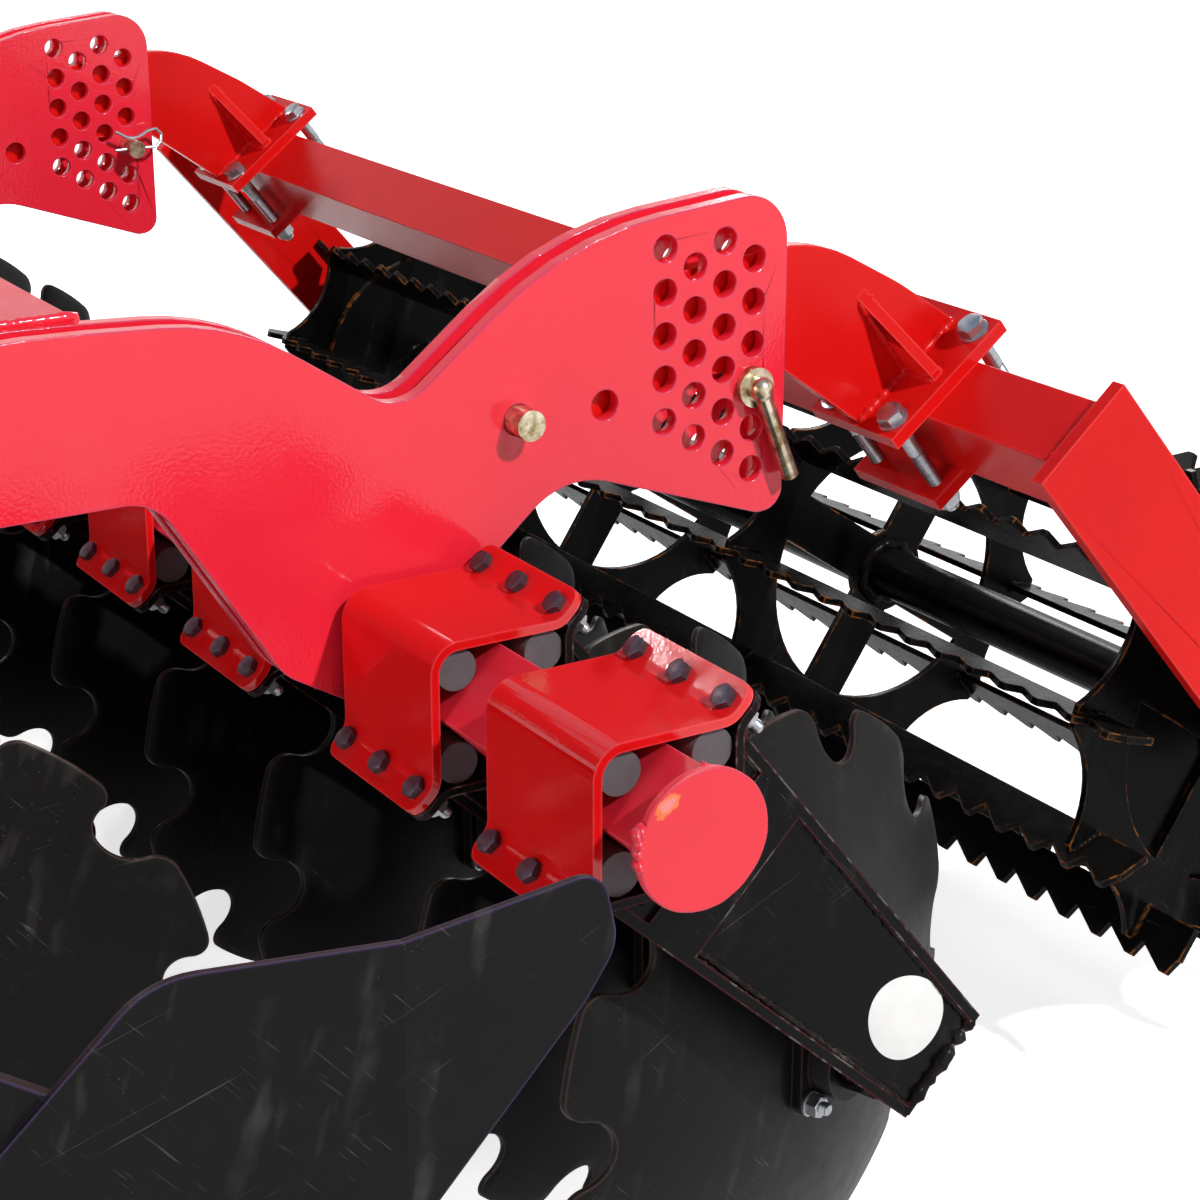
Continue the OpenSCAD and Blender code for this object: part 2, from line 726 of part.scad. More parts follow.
module roller_bars() {
    len_x = 2 * (spider_x + bar_over);
    n = floor(len_x / tooth_pitch);
    edge = saw(n, len_x / n);
    color("dimgray") for (k = [0 : bar_n - 1])
        at_roller(0) rotate(bar_turn + k * 360 / bar_n) translate([roller_r, bar_t / 2, -len_x / 2])
            rotate([90, -90, 0]) linear_extrude(bar_t)
                polygon(concat([[0, bar_h]], edge, [[len_x, tooth_h], [len_x, bar_h]]));
}

rear_beam();
front_beam();
beam_caps();
cross_tube();
side_plates_left();
side_plates_right();
mast();
mast_brace();
lower_link_lugs();
upper_clamps_rear();
upper_clamps_front();
rubber_cords_rear();
rubber_cords_front();
disc_arms_rear();
disc_arms_front();
side_deflector();
deflector_carrier();
pivot_pins();
lock_pins();
roller_rail();
swing_arms();
counter_plates();
roller_end_plates();
roller_bearings();
roller_core();
roller_bars();
for (i = [0 : len(rear_units) - 1])
    disc(rear_units[i], 0, 1);
for (i = [0 : len(front_units) - 1])
    disc(front_units[i], -beam_gap, -1);
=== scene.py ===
import json
import math
import random

import bmesh
import bpy
from mathutils import Matrix, Vector, noise


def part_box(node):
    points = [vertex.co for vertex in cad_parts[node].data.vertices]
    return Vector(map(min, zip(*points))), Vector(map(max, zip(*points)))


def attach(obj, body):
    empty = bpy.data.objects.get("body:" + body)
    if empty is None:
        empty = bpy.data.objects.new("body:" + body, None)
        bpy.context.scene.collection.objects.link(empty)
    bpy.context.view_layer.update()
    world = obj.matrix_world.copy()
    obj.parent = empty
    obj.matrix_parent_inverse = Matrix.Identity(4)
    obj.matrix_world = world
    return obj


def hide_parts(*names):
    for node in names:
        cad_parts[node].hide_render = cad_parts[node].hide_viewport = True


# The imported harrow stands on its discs, +X to its left and +Y to the rear. Its solids are
# the steel that every bolt, weld and label below is fixed to.
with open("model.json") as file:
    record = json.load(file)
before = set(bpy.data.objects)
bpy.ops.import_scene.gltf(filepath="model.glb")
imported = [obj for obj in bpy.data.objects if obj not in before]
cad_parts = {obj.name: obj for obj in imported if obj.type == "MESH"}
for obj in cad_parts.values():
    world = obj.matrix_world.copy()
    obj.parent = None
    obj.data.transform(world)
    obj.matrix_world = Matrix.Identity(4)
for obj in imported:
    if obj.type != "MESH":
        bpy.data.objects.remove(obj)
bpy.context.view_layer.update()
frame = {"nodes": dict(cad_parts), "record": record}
nodes = frame["nodes"]
hinges = {j["child"]: j for j in frame["record"]["behaviour"]["joints"]}
scene = bpy.context.scene
scene.view_settings.view_transform = "Standard"


def middle(name):
    """The middle of a CAD node's box."""
    low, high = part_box(name)
    return (Vector(low) + Vector(high)) / 2


rear_beam = middle("rear_beam")
front_beam = middle("front_beam")

# Studio: a white floor and backdrop, a soft white tent, one lamp on the machine's left as the
# sun stood, and the camera where the photograph was taken, near the left rear corner.
WHITE_FLOOR = "#F3F3F2"
CAMERA_FROM_BEAM_END = Vector((1.467, -1.006, 0.823))
CAMERA_AIM = Vector((-0.7985, 0.4985, -0.3376))
CAMERA_LENS_MM = 79.02
FLOOR_REACH = 40


def srgb(code):
    """A hex colour as linear red, green, blue and alpha."""
    parts = [int(code[i:i + 2], 16) / 255 for i in (1, 3, 5)]
    return [c / 12.92 if c <= 0.04045 else ((c + 0.055) / 1.055) ** 2.4 for c in parts] + [1.0]


def put(tree, kind, settings=None, **links):
    """Adds a node; settings are attributes or input values, links are sockets that feed inputs."""
    n = tree.nodes.new(kind)
    for key, value in (settings or {}).items():
        if isinstance(key, str) and hasattr(n, key):
            setattr(n, key, value)
        else:
            n.inputs[key].default_value = value
    for key, socket in links.items():
        tree.links.new(socket, n.inputs[int(key[1:])] if key[1:].isdigit() else n.inputs[key])
    return n


def new_material(name):
    """A node material with its tree and its surface shader."""
    m = bpy.data.materials.new(name)
    m.use_nodes = True
    return m, m.node_tree, m.node_tree.nodes["Principled BSDF"]


camera = bpy.data.objects.new("camera", bpy.data.cameras.new("camera"))
camera.location = Vector((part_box("rear_beam")[1][0], rear_beam.y, rear_beam.z)) + CAMERA_FROM_BEAM_END
camera.rotation_euler = CAMERA_AIM.to_track_quat("-Z", "Y").to_euler()
camera.data.sensor_width = 36
camera.data.lens = CAMERA_LENS_MM
camera.data.clip_start = 0.05
scene.collection.objects.link(camera)
scene.camera = camera

floor_mesh = bpy.data.meshes.new("studio_floor")
floor_mesh.from_pydata([(x * FLOOR_REACH, y * FLOOR_REACH, 0) for x, y in ((-1, -1), (1, -1), (1, 1), (-1, 1))],
                       [], [(0, 1, 2, 3)])
studio_floor = bpy.data.objects.new("studio_floor", floor_mesh)
scene.collection.objects.link(studio_floor)
# Matt white floor paint: glows for the camera so that it reads as white, fading in over 3 to 9 m
floor_paint, tree, shader = new_material("white_floor_paint")
shader.inputs["Base Color"].default_value = srgb(WHITE_FLOOR)
shader.inputs["Roughness"].default_value = 0.9
shader.inputs["Specular IOR Level"].default_value = 0.1
shader.inputs["Emission Color"].default_value = srgb("#FFFFFF")
rays = put(tree, "ShaderNodeLightPath")
mirrored = put(tree, "ShaderNodeMath", {"operation": "MAXIMUM"},
               i0=rays.outputs["Is Glossy Ray"], i1=rays.outputs["Is Transmission Ray"])
mirrored = put(tree, "ShaderNodeMath", {"operation": "MULTIPLY", 1: 0.25}, i0=mirrored.outputs["Value"])
spot = put(tree, "ShaderNodeNewGeometry")
away = put(tree, "ShaderNodeVectorMath", {"operation": "LENGTH"}, i0=spot.outputs["Position"])
fade = put(tree, "ShaderNodeMapRange", {1: 3.0, 2: 9.0, 3: 0.72, 4: 1.0}, Value=away.outputs["Value"])
glow = put(tree, "ShaderNodeMath", {"operation": "MULTIPLY_ADD"}, i0=rays.outputs["Is Camera Ray"],
           i1=fade.outputs["Result"], i2=mirrored.outputs["Value"])
tree.links.new(glow.outputs["Value"], shader.inputs["Emission Strength"])
floor_mesh.materials.append(floor_paint)

world = bpy.data.worlds.new("studio")
scene.world = world
world.use_nodes = True
tree = world.node_tree
look = put(tree, "ShaderNodeTexCoord")
height = put(tree, "ShaderNodeSeparateXYZ", Vector=look.outputs["Generated"])
tent = put(tree, "ShaderNodeValToRGB", Fac=height.outputs["Z"])
tent.color_ramp.elements[0].color = srgb("#FFFFFF")
tent.color_ramp.elements[0].position = 0.28
tent.color_ramp.elements[1].color = srgb("#8C9DB8")
tent.color_ramp.elements[1].position = 0.75
rays = put(tree, "ShaderNodeLightPath")
seen = put(tree, "ShaderNodeMath", {"operation": "MAXIMUM"},
           i0=rays.outputs["Is Camera Ray"], i1=rays.outputs["Is Glossy Ray"])
seen = put(tree, "ShaderNodeMath", {"operation": "MAXIMUM"},
           i0=seen.outputs["Value"], i1=rays.outputs["Is Transmission Ray"])
level = put(tree, "ShaderNodeMapRange", {3: 0.24, 4: 1.0}, Value=seen.outputs["Value"])
tree.links.new(tent.outputs["Color"], tree.nodes["Background"].inputs["Color"])
tree.links.new(level.outputs["Result"], tree.nodes["Background"].inputs["Strength"])

for name, place, aim, power, size in (
        ("sun_side_lamp", (15.8, 5.4, 15.0), (0.4, -0.1, 0.5), 4150, 0.9),
        ("front_lamp", (1.2, -6.0, 2.6), (0.4, -0.2, 0.6), 110, 2.0),
        ("rear_lamp", (-4.6, 5.0, 4.2), (0, 0, 0.5), 260, 2.6),
        ("far_rim_lamp", (-4.03, -2.10, 3.52), (0.9, -0.2, 0.65), 60, 0.5)):
    lamp = bpy.data.lights.new(name, "AREA")
    lamp.energy = power
    lamp.size = size
    lamp_at = bpy.data.objects.new(name, lamp)
    lamp_at.location = place
    lamp_at.rotation_euler = (Vector(aim) - Vector(place)).to_track_quat("-Z", "Y").to_euler()
    lamp_at.visible_camera = False
    scene.collection.objects.link(lamp_at)

# Disc beams, cross tube, mast and hitch lugs: square tube and flame-cut plate, welded up and
# sprayed with red enamel. The spray is thin on sharp corners and dust lies on the upper faces.


def coat(name, face, shade, edge, rough, peel_mm=3.0, peel=0.10, dusty=0.04, scuff=0.0,
         fleck=0.0, chip=None, shine=0.4):
    """Paint on steel: patchy gloss, orange peel, an edge colour, dust, scuffs, flecks and chips; the edge
    colour is thin paint for most finishes, painted highlight on the deflector and painted sky reflection on the
    side plates.
    """
    m, tree, shader = new_material(name)
    here = put(tree, "ShaderNodeTexCoord").outputs["Object"]
    patch = put(tree, "ShaderNodeTexNoise", {"Scale": 1 / 0.18, "Detail": 4.0, "Roughness": 0.6}, Vector=here)
    soft = put(tree, "ShaderNodeMapRange", {1: 0.45, 2: 0.85, 3: 0.0, 4: 0.7}, Value=patch.outputs["Fac"])
    hue = put(tree, "ShaderNodeMix", {"data_type": "RGBA", 6: srgb(face), 7: srgb(shade)},
              i0=soft.outputs["Result"])
    # Edge mask: the edge colour goes where the bevel normal bends; for the side plates and deflector that
    # colour is painted light (a painted reflection and a painted highlight).
    rounded = put(tree, "ShaderNodeBevel", {"samples": 4, "Radius": 0.003})
    true_face = put(tree, "ShaderNodeNewGeometry")
    bent = put(tree, "ShaderNodeVectorMath", {"operation": "DOT_PRODUCT"},
               i0=rounded.outputs["Normal"], i1=true_face.outputs["Normal"])
    rim = put(tree, "ShaderNodeMapRange", {1: 0.995, 2: 0.92, 3: 0.0, 4: 0.8}, Value=bent.outputs["Value"])
    colour = put(tree, "ShaderNodeMix", {"data_type": "RGBA", 7: srgb(edge)},
                 i0=rim.outputs["Result"], i6=hue.outputs[2])
    specks = put(tree, "ShaderNodeTexNoise", {"Scale": 1 / 0.03, "Detail": 8.0, "Roughness": 0.72}, Vector=here)
    if scuff:
        # Handling marks: dusty smears of 90 by 20 mm, then scratches in two directions, hair-fine on
        # the steel and drawn about 1 mm wide so that they show
        for lean, long, wide, low, high, most in ((1.35, 0.09, 0.020, 0.55, 0.78, 0.28),
                                                  (0.40, 0.25, 0.0024, 0.70, 0.76, 0.80),
                                                  (-0.85, 0.05, 0.0020, 0.67, 0.77, 0.60)):
            drag = put(tree, "ShaderNodeMapping", {"vector_type": "TEXTURE", "Rotation": (lean, 0, 0),
                                                   "Scale": (0.1, long, wide)}, Vector=here)
            lines = put(tree, "ShaderNodeTexNoise", {"Scale": 1.0, "Detail": 2.0},
                        Vector=drag.outputs["Vector"])
            fine = put(tree, "ShaderNodeMapRange", {1: low, 2: high}, Value=lines.outputs["Fac"])
            where = put(tree, "ShaderNodeMapRange", {1: 0.48, 2: 0.66, 3: 0.0, 4: scuff * most},
                        Value=patch.outputs["Fac"])
            mark = put(tree, "ShaderNodeMath", {"operation": "MULTIPLY"},
                       i0=fine.outputs["Result"], i1=where.outputs["Result"])
            colour = put(tree, "ShaderNodeMix", {"data_type": "RGBA", 7: srgb("#8A8884")},
                         i0=mark.outputs["Value"], i6=colour.outputs[2])
    if fleck:
        # Overspray and grit: pale flecks of about 1 mm
        grit = put(tree, "ShaderNodeTexVoronoi", {"Scale": 1 / 0.008, "Randomness": 1.0}, Vector=here)
        dot = put(tree, "ShaderNodeMapRange", {1: 0.10, 2: 0.05, 3: 0.0, 4: fleck},
                  Value=grit.outputs["Distance"])
        spray = put(tree, "ShaderNodeMapRange", {1: 0.55, 2: 0.70}, Value=patch.outputs["Fac"])
        dot = put(tree, "ShaderNodeMath", {"operation": "MULTIPLY"},
                  i0=dot.outputs["Result"], i1=spray.outputs["Result"])
        colour = put(tree, "ShaderNodeMix", {"data_type": "RGBA", 7: srgb("#A9A6A0")},
                     i0=dot.outputs["Value"], i6=colour.outputs[2])
    if chip:
        # Paint knocked off the edges down to rusty steel, in runs of about 20 mm
        broken = put(tree, "ShaderNodeTexNoise", {"Scale": 1 / 0.02, "Detail": 3.0}, Vector=here)
        run_off = put(tree, "ShaderNodeMapRange", {1: 0.52, 2: 0.60, 3: 0.0, 4: 1.0},
                      Value=broken.outputs["Fac"])
        lost = put(tree, "ShaderNodeMath", {"operation": "MULTIPLY"},
                   i0=rim.outputs["Result"], i1=run_off.outputs["Result"])
        colour = put(tree, "ShaderNodeMix", {"data_type": "RGBA", 7: srgb(chip)},
                     i0=lost.outputs["Value"], i6=colour.outputs[2])
    lean = put(tree, "ShaderNodeSeparateXYZ", Vector=true_face.outputs["Normal"])
    lying = put(tree, "ShaderNodeMapRange", {1: 0.3, 2: 1.0, 3: 0.0, 4: dusty}, Value=lean.outputs["Z"])
    film = put(tree, "ShaderNodeMath", {"operation": "MULTIPLY"},
               i0=lying.outputs["Result"], i1=specks.outputs["Fac"])
    dusted = put(tree, "ShaderNodeMix", {"data_type": "RGBA", 7: srgb("#B9A898")},
                 i0=film.outputs["Value"], i6=colour.outputs[2])
    tree.links.new(dusted.outputs[2], shader.inputs["Base Color"])
    gloss = put(tree, "ShaderNodeMapRange", {1: 0.2, 2: 0.8, 3: rough - 0.06, 4: rough + 0.12},
                Value=specks.outputs["Fac"])
    tree.links.new(gloss.outputs["Result"], shader.inputs["Roughness"])
    skin = put(tree, "ShaderNodeTexNoise", {"Scale": 1000 / peel_mm, "Detail": 1.0}, Vector=here)
    wave = put(tree, "ShaderNodeTexNoise", {"Scale": 1 / 0.05, "Detail": 1.0}, Vector=here)
    wavy = put(tree, "ShaderNodeBump", {"Strength": 0.25, "Distance": 0.0012}, Height=wave.outputs["Fac"])
    bump = put(tree, "ShaderNodeBump", {"Strength": peel, "Distance": 0.0006},
               Height=skin.outputs["Fac"], Normal=wavy.outputs["Normal"])
    tree.links.new(bump.outputs["Normal"], shader.inputs["Normal"])
    shader.inputs["Specular IOR Level"].default_value = shine
    return m


def dress(material, edge_mm, *names):
    """Gives CAD nodes a finish and the small rounded edges of cut, bent or turned steel."""
    for name in names:
        piece = nodes[name]
        piece.data.materials.clear()
        piece.data.materials.append(material)
        joined = piece.modifiers.new("joined_faces", "WELD")
        joined.merge_threshold = 0.00002
        soft_edge = piece.modifiers.new("soft_edge", "BEVEL")
        soft_edge.width = edge_mm / 1000
        soft_edge.segments = 2
        soft_edge.limit_method = "ANGLE"
        soft_edge.angle_limit = math.radians(40)
        soft_edge.harden_normals = True


red_enamel = coat("red_enamel_on_steel", "#E0263A", "#CC1C2E", "#D4566A", 0.30)
dress(red_enamel, 1.5, "rear_beam", "front_beam", "cross_tube", "mast", "mast_brace", "lower_link_lugs")


def piece_of(name, bm, material, body, sharp=30):
    """Turns a built mesh into a piece that rides on a body and takes the finish of a slot."""
    mesh = bpy.data.meshes.new(name)
    bmesh.ops.recalc_face_normals(bm, faces=bm.faces)
    for face in bm.faces:
        face.smooth = True
    bm.to_mesh(mesh)
    bm.free()
    mesh.set_sharp_from_angle(angle=math.radians(sharp))
    mesh.materials.append(material)
    obj = bpy.data.objects.new(name, mesh)
    scene.collection.objects.link(obj)
    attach(obj, body)
    return obj


def turns(count):
    """Angles of equal steps round a circle."""
    return [k * math.tau / count for k in range(count)]


def skin(bm, rings):
    """Joins rings of points one to the next and closes both ends."""
    for a, b in zip(rings, rings[1:]):
        for k in range(len(a)):
            bm.faces.new((a[k], a[(k + 1) % len(a)], b[(k + 1) % len(a)], b[k]))
    bm.faces.new(rings[0])
    bm.faces.new(rings[-1])


def lay(bm, points, radius, ripple=0.0, closed=False, sides=8, step=0.0035):
    """A round wire along points, or a weld bead where ripple gives its scales."""
    pts = [Vector(p) for p in points]
    if closed:
        pts.append(pts[0])
    path = []
    for a, b in zip(pts, pts[1:]):
        n = max(1, int((b - a).length / step))
        path += [a.lerp(b, i / n) for i in range(n)]
    if not closed:
        path = [pts[0] + (pts[0] - pts[1]).normalized() * radius * 0.7] + path + [pts[-1]]
        path.append(pts[-1] + (pts[-1] - pts[-2]).normalized() * radius * 0.7)
    rings = []
    for i, p in enumerate(path):
        before = path[i - 1] if i or closed else p
        after = path[(i + 1) % len(path)] if closed or i + 1 < len(path) else p
        along = (after - before).normalized()
        side = along.orthogonal().normalized()
        if rings:
            side = (old - along * old.dot(along)).normalized()
        old = side
        over = along.cross(side)
        swell = 1 + ripple * (abs(math.sin(i * 1.1)) - 0.5 + noise.noise(p * 160))
        end = 1.0 if closed else (0.45, 0.88, 1.0)[min(i, len(path) - 1 - i, 2)]
        rings.append([bm.verts.new(p + (side * math.cos(t) + over * math.sin(t)) * radius * swell * end)
                      for t in turns(sides)])
    pairs = list(zip(rings, rings[1:] + (rings[:1] if closed else [])))
    for a, b in pairs:
        if closed and a is rings[-1]:
            turn = min(range(sides), key=lambda s: (a[0].co - b[s].co).length)
            b = b[turn:] + b[:turn]
        for k in range(sides):
            bm.faces.new((a[k], a[(k + 1) % sides], b[(k + 1) % sides], b[k]))
    if not closed:
        bm.faces.new(rings[0])
        bm.faces.new(rings[-1])


BEAM_CORNER = 0.0566
FILLET, RIPPLE = 0.0045, 0.35


def diamond(x, beam, reach=BEAM_CORNER):
    """Corners of a weld round a beam that passes through a plate at x."""
    return [(x, beam.y + reach, beam.z), (x, beam.y, beam.z + reach),
            (x, beam.y - reach, beam.z), (x, beam.y, beam.z - reach)]


# Beam caps: round plates flame-cut by hand from 8 mm sheet, a little uneven, welded on the ends
# of both beams and sprayed with them.
CAP_R = 0.0575
CAP_FORWARD = 0.004
CAP_SIDES = 96
cap_enamel = coat("red_enamel_on_caps", "#E8323F", "#DE2A38", "#C8405C", 0.40)

# A knock on the near cap: bare primer about 30 mm long, with an orange rim of rust
knock_mid = Vector((0, rear_beam.y - 0.037, rear_beam.z + 0.036))
tree = cap_enamel.node_tree
shader = tree.nodes["Principled BSDF"]
painted = shader.inputs["Base Color"].links[0].from_socket
here = put(tree, "ShaderNodeTexCoord").outputs["Object"]
ragged = put(tree, "ShaderNodeTexNoise", {"Scale": 1 / 0.008, "Detail": 3.0}, Vector=here)
moved = put(tree, "ShaderNodeMapping", {"vector_type": "TEXTURE", "Location": knock_mid,
                                        "Rotation": (math.radians(35), 0, 0), "Scale": (9.0, 0.019, 0.012)},
            Vector=here)
away = put(tree, "ShaderNodeVectorMath", {"operation": "LENGTH"}, i0=moved.outputs["Vector"])
uneven = put(tree, "ShaderNodeMath", {"operation": "MULTIPLY_ADD", 1: 0.9},
             i0=ragged.outputs["Fac"], i2=away.outputs["Value"])
knock = put(tree, "ShaderNodeValToRGB", Fac=uneven.outputs["Value"])
knock.color_ramp.elements[0].color = srgb("#F2A39C")
knock.color_ramp.elements[0].position = 0.80
knock.color_ramp.elements[1].color = srgb("#F0913C")
knock.color_ramp.elements[1].position = 0.98
bare = put(tree, "ShaderNodeMapRange", {1: 1.12, 2: 1.02, 3: 0.0, 4: 0.6}, Value=uneven.outputs["Value"])
knocked = put(tree, "ShaderNodeMix", {"data_type": "RGBA"},
              i0=bare.outputs["Result"], i6=painted, i7=knock.outputs["Color"])
tree.links.new(knocked.outputs[2], shader.inputs["Base Color"])

bm = bmesh.new()
cap_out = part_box("beam_caps")[1][0]
for beam in (rear_beam, front_beam):
    for side in (-1, 1):
        rings = []
        for inset, x in ((0.0012, cap_out - 0.0080), (0.0, cap_out - 0.0068), (0.0, cap_out - 0.0010),
                         (0.0010, cap_out)):
            ring = []
            for t in turns(CAP_SIDES):
                out = CAP_R - inset + 0.0007 * noise.noise(Vector((math.cos(t), math.sin(t), beam.y)) * 4)
                ring.append(bm.verts.new((side * x, beam.y - CAP_FORWARD + out * math.cos(t),
                                          beam.z + out * math.sin(t))))
            rings.append(ring)
        skin(bm, rings)
round_caps = piece_of("round_beam_caps", bm, cap_enamel, "frame")
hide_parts("beam_caps")

# Frame welds: 8 mm fillets round the beams where they pass the mast legs and hitch lugs, and
# drops of weld on the edge of the near cap. They are painted over with the frame.
MAST_PLATE = 0.016
LUG_FACES = (0.0, 0.014, 0.070, 0.084)
CAP_SEAT = 1.2395
mast_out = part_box("mast")[1][0]
lug_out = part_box("lower_link_lugs")[1][0]
bm = bmesh.new()
for side in (-1, 1):
    for x in (mast_out, mast_out - MAST_PLATE):
        lay(bm, diamond(side * x, front_beam), FILLET, RIPPLE, closed=True)
    for x in (lug_out - inward for inward in LUG_FACES):
        lay(bm, diamond(side * x, front_beam), FILLET, RIPPLE, closed=True)
    for beam in (rear_beam, front_beam):
        lay(bm, diamond(side * CAP_SEAT, beam, 0.0560), 0.0032, 0.4, closed=True)
cap_edge = cap_out - 0.004
for turn_deg, out in ((159, 0.0630), (162, 0.0660), (168, 0.0620), (174, 0.0625), (184, 0.0610)):
    a = math.radians(turn_deg)
    drop = Vector((cap_edge, rear_beam.y + out * math.cos(a), rear_beam.z + out * math.sin(a)))
    lay(bm, [drop, drop + Vector((0.005, -0.003, 0.001)), drop + Vector((0.008, -0.003, -0.002))], 0.0044, 0.25)
piece_of("frame_welds", bm, red_enamel, "frame", 60)

# Side plates: two pairs of 15 mm laser-cut plate with the setting grid, powder coated in a
# warmer red. Their cut edges are painted pink and violet, a painted reflection of blue sky on the red.
# The edge colour #B8406E is a painted reflection of blue sky on the cut edges.
red_powder = coat("red_powder_coat", "#F0283C", "#EA2338", "#B8406E", 0.09, peel_mm=3.2, peel=0.30,
                  dusty=0.02, shine=0.5)
dress(red_powder, 1.2, "side_plates_left", "side_plates_right")
PLATE_FACES = (0.724, 0.774)
bm = bmesh.new()
cross_low, cross_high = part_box("cross_tube")
for side in (-1, 1):
    for x in PLATE_FACES:
        for beam in (rear_beam, front_beam):
            lay(bm, diamond(side * x, beam), FILLET, RIPPLE, closed=True)
    lay(bm, [(side * cross_high[0], y, z) for y, z in (
        (cross_low[1], cross_low[2]), (cross_high[1], cross_low[2]),
        (cross_high[1], cross_high[2]), (cross_low[1], cross_high[2]))], FILLET, RIPPLE, closed=True)
piece_of("side_plate_welds", bm, red_powder, "frame", 60)

# Clamps: two bent 8 mm plates per disc unit, drawn together round the beam and the rubber
# cords by six M12 bolts. The upper halves are gloss red, the heads plain blackened steel.
FLANGE_TOP = 0.009
BOLT_ROW = 0.0965
BOLT_STEP = 0.062
M12_R = 0.006
M12_FLATS = 0.0185
M12_WASHER = (0.0118, 0.011, 0.0024)  # radius, upper radius, thickness
DISC_TO_CLAMP = 0.085
clamp_red = coat("gloss_red_enamel_on_clamps", "#E01214", "#CA0A0C", "#F0464C", 0.08, peel=0.12,
                 dusty=0.02, shine=0.6)
dress(clamp_red, 1.2, "upper_clamps_rear", "upper_clamps_front")

# Blackened steel: rolled and heat-treated bolt heads, dull, with a violet cast
blackened, tree, shader = new_material("blackened_bolt_steel")
here = put(tree, "ShaderNodeTexCoord").outputs["Object"]
scale_mark = put(tree, "ShaderNodeTexNoise", {"Scale": 1 / 0.004, "Detail": 5.0}, Vector=here)
tone = put(tree, "ShaderNodeMix", {"data_type": "RGBA", 6: srgb("#352F39"), 7: srgb("#69626C")},
           i0=scale_mark.outputs["Fac"])
tree.links.new(tone.outputs[2], shader.inputs["Base Color"])
rub = put(tree, "ShaderNodeBump", {"Strength": 0.25, "Distance": 0.0004}, Height=scale_mark.outputs["Fac"])
tree.links.new(rub.outputs["Normal"], shader.inputs["Normal"])
shader.inputs["Metallic"].default_value = 0.75
shader.inputs["Roughness"].default_value = 0.42

# Bright zinc: electroplated nuts and studs, pale grey with a faint blue cast
bright_zinc, tree, shader = new_material("bright_zinc_plate")
here = put(tree, "ShaderNodeTexCoord").outputs["Object"]
bloom = put(tree, "ShaderNodeTexNoise", {"Scale": 1 / 0.006, "Detail": 4.0}, Vector=here)
tone = put(tree, "ShaderNodeMix", {"data_type": "RGBA", 6: srgb("#C9CCD0"), 7: srgb("#8D9094")},
           i0=bloom.outputs["Fac"])
tree.links.new(tone.outputs[2], shader.inputs["Base Color"])
shader.inputs["Metallic"].default_value = 0.9
shader.inputs["Roughness"].default_value = 0.3


def along(point, axis, spin=0.0):
    """A place whose z axis is the bolt's axis."""
    axis = Vector(axis).normalized()
    side = axis.orthogonal().normalized()
    turn = Matrix((side, axis.cross(side), axis)).transposed().to_4x4()
    return Matrix.Translation(point) @ turn @ Matrix.Rotation(spin, 4, "Z")


def turned(bm, place, outline, sides=16):
    """A round part from (radius, height) pairs about the z axis of place, closed at both ends."""
    skin(bm, [[bm.verts.new(place @ Vector((r * math.cos(t), r * math.sin(t), z))) for t in turns(sides)]
              for r, z in outline])


def washer(bm, place, radius, top, thick, sides=20):
    """A flat washer with a broken upper edge; gives back the seat on top of it."""
    turned(bm, place, [(radius, -0.001), (radius, thick - 0.0004), (top, thick)], sides)
    return place @ Matrix.Translation((0, 0, thick))


def hexagon(bm, place, flats, tall, both_ends=False):
    """A hexagon head or nut whose corners are turned off to a round chamfer."""
    sides = 24
    crown = flats / 2 * 0.96
    lines = []
    for t in turns(sides):
        reach = flats / 2 / math.cos((t + math.pi / 6) % (math.pi / 3) - math.pi / 6)
        cut = (reach - crown) * 0.55
        low = [(crown, 0), (reach, cut)] if both_ends else [(reach, 0)]
        lines.append([place @ Vector((r * math.cos(t), r * math.sin(t), z))
                      for r, z in low + [(reach, tall - cut), (crown, tall)]])
    grid = [[bm.verts.new(p) for p in line] for line in lines]
    for k in range(sides):
        a, b = grid[k], grid[(k + 1) % sides]
        for i in range(len(a) - 1):
            bm.faces.new((a[i], b[i], b[i + 1], a[i + 1]))
    bm.faces.new([line[0] for line in grid])
    bm.faces.new([line[-1] for line in grid])


def stud(bm, place, radius, start, end, pitch=0.00175):
    """The threaded end of a bolt between two heights."""
    outline = [(radius * 0.8, start)]
    z = start
    while z + pitch < end - 0.001:
        outline += [(radius, z + pitch * 0.25), (radius * 0.9, z + pitch * 0.75)]
        z += pitch
    outline += [(radius * 0.9, end - 0.001), (radius * 0.75, end)]
    turned(bm, place, outline, 14)


def unit_places(row):
    """Clamp middles of one row of disc units: where each disc hangs, moved back to its clamp."""
    hand = 1 if row == "rear" else -1
    return [hinges[b]["pos_m"][0] + hand * DISC_TO_CLAMP
            for b in sorted(hinges) if b.startswith(row + "_disc_")]


FLANGE_WAY = Vector((0, math.sqrt(0.5), math.sqrt(0.5)))
CLAMP_UP = Vector((0, -math.sqrt(0.5), math.sqrt(0.5)))
rng = random.Random(7)
for row, beam in (("rear", rear_beam), ("front", front_beam)):
    heads, nuts = bmesh.new(), bmesh.new()
    for x in unit_places(row):
        for flange in (-1, 1):
            for k in (-1, 0, 1):
                at = Vector((x + k * BOLT_STEP, beam.y, beam.z)) + FLANGE_WAY * flange * BOLT_ROW
                up = along(at + CLAMP_UP * (FLANGE_TOP - 0.001), CLAMP_UP, rng.uniform(0, 6))
                hexagon(heads, up, M12_FLATS, 0.0085)
                down = along(at - CLAMP_UP * FLANGE_TOP, -CLAMP_UP, rng.uniform(0, 6))
                hexagon(nuts, washer(nuts, down, *M12_WASHER), M12_FLATS, 0.010, True)
                stud(nuts, down, M12_R, 0.010, rng.uniform(0.022, 0.027))
    piece_of("clamp_bolt_heads_" + row, heads, blackened, "frame")
    piece_of("clamp_bolt_nuts_" + row, nuts, bright_zinc, "frame")

